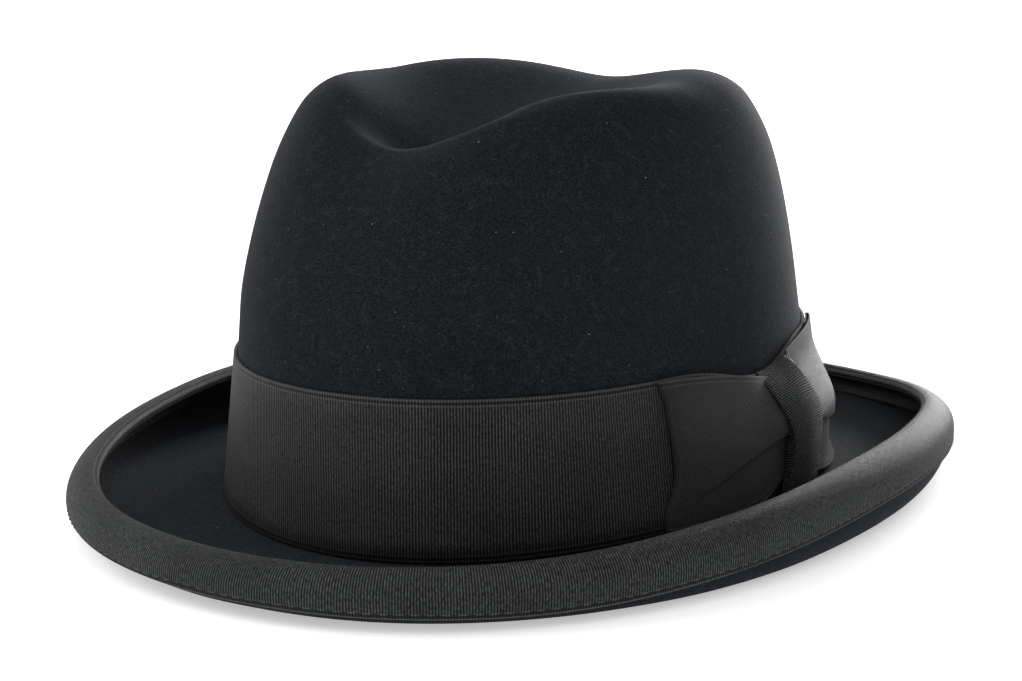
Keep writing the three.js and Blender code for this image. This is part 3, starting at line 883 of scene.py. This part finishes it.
def bow_knot():
    run = []
    for i in range(KNOT_STEPS + 1):
        height = mix(KNOT[0]["height"], KNOT[-1]["height"], i / KNOT_STEPS)
        run.append((height, curve_through(KNOT, "height", "stand", height)))
    lengths = [0.0]
    for (h0, s0), (h1, s1) in zip(run, run[1:]):
        lengths.append(lengths[-1] + math.hypot(h1 - h0, s1 - s0))

    def where(a, b):
        i = min(KNOT_STEPS - 1, int(b * KNOT_STEPS))
        height = mix(run[i][0], run[i + 1][0], b * KNOT_STEPS - i)
        length = mix(lengths[i], lengths[i + 1], b * KNOT_STEPS - i)
        left = curve_through(KNOT, "height", "left", height)
        crease = curve_through(KNOT, "height", "crease", height)
        right = curve_through(KNOT, "height", "right", height)
        stand = curve_through(KNOT, "height", "stand", height)
        if a < LEFT_ROLL:
            u = a / LEFT_ROLL
            along = left + 1.2 * (1.0 - u) ** 2
            off = mix(0.35, 0.86, math.sin(u * math.pi / 2)) * stand
        elif a < CREASE_AT:
            u = (a - LEFT_ROLL) / STRAP_FACE
            along = mix(left, crease, u)
            off = stand * (0.86 + 0.14 * math.sin(u * math.pi * 0.62))
        else:
            u = (a - CREASE_AT) / STRAP_SIDE
            along = mix(crease, right, smooth(u))
            off = stand * mix(0.93, 0.3, u ** 1.3)
        # The ribs lie in shallow arcs, as the strap is drawn in at its sides
        arc = RIB_BOW * (2 * a - 1) ** 2
        level = height + curve_through(BAND_DIP, "along", "rise", along) * smooth((height - 34.0) / 10.0)
        width = a * KNOT_WIDTH
        # Its edges are folded under, out of sight
        rest = KNOT_WIDTH - width + SELVAGE
        return along, level, max(STRAP_LEAST, off), length + arc, width + SELVAGE, rest

    piece = ribbon_sheet("bow_knot_ribbon", *KNOT_GRID, where)
    thicken(piece, KNOT_THICKNESS)
    return piece


knot = bow_knot()
finish_piece(knot, knot_grosgrain_painted_light, "band_ribbon", "bow_knot")

# Table and light

WHITE = (1.0, 1.0, 1.0, 1.0)
TABLE_PLACE = (0.0, 0.0, -0.0002)
WALL_PLACE = (-1.75, 2.5, 0.9)
WALL_TURN = 35.0
LIGHT_TARGET = Vector((0.0, 0.0, 0.06))


def lit_white(name, glow):
    """A white finish that gives off a little light of its own."""
    material, _, surface = new_material(name)
    surface.inputs["Base Color"].default_value = (0.9, 0.9, 0.9, 1.0)
    surface.inputs["Emission Color"].default_value = WHITE
    surface.inputs["Emission Strength"].default_value = glow
    return material, surface


bpy.ops.object.select_all(action="DESELECT")
bpy.ops.mesh.primitive_plane_add(size=6.0, location=TABLE_PLACE)
table = bpy.context.object
table.name = "pale_table"
table_white, surface = lit_white("pale_table", 0.42)
surface.inputs["Roughness"].default_value = 0.8
surface.inputs["Specular IOR Level"].default_value = 0.2
table.data.materials.append(table_white)

# A lit white wall behind the hat, across the camera's line of sight
wall_turn = (math.pi / 2, 0.0, math.radians(WALL_TURN))
bpy.ops.mesh.primitive_plane_add(size=1.0, location=WALL_PLACE, rotation=wall_turn)
wall = bpy.context.object
wall.name = "white_wall"
wall.scale = (9.0, 3.0, 1.0)
wall.data.materials.append(lit_white("white_wall", 0.7)[0])

world = bpy.data.worlds.new("studio")
bpy.context.scene.world = world
world.use_nodes = True
# The studio is brightest at the level of the hat and darker overhead
tree = world.node_tree
background = tree.nodes["Background"]
direction = add_node(tree, "ShaderNodeTexCoord").outputs["Generated"]
way_up = add_node(tree, "ShaderNodeSeparateXYZ", {"Vector": direction}).outputs["Z"]
studio_light = add_node(tree, "ShaderNodeMapRange", {
    "Value": way_up, "From Min": 0.0, "From Max": 1.0, "To Min": 0.98, "To Max": 0.5,
}).outputs["Result"]
tree.links.new(studio_light, background.inputs["Strength"])
background.inputs["Color"].default_value = WHITE


def add_light(name, place, size, power):
    data = bpy.data.lights.new(name, "AREA")
    data.shape = "RECTANGLE"
    data.size = size[0]
    data.size_y = size[1]
    data.energy = power
    light = bpy.data.objects.new(name, data)
    bpy.context.scene.collection.objects.link(light)
    light.location = place
    light.rotation_euler = (LIGHT_TARGET - Vector(place)).to_track_quat("-Z", "Y").to_euler()


add_light("window_right", (-0.25, 1.7, 0.28), (0.7, 0.5), 36.0)
add_light("front_top", (0.7, -1.0, 1.5), (1.2, 1.2), 7.0)
add_light("left_fill", (-1.5, -0.9, 1.0), (1.3, 1.2), 20.0)

bpy.context.scene.view_settings.view_transform = "Standard"
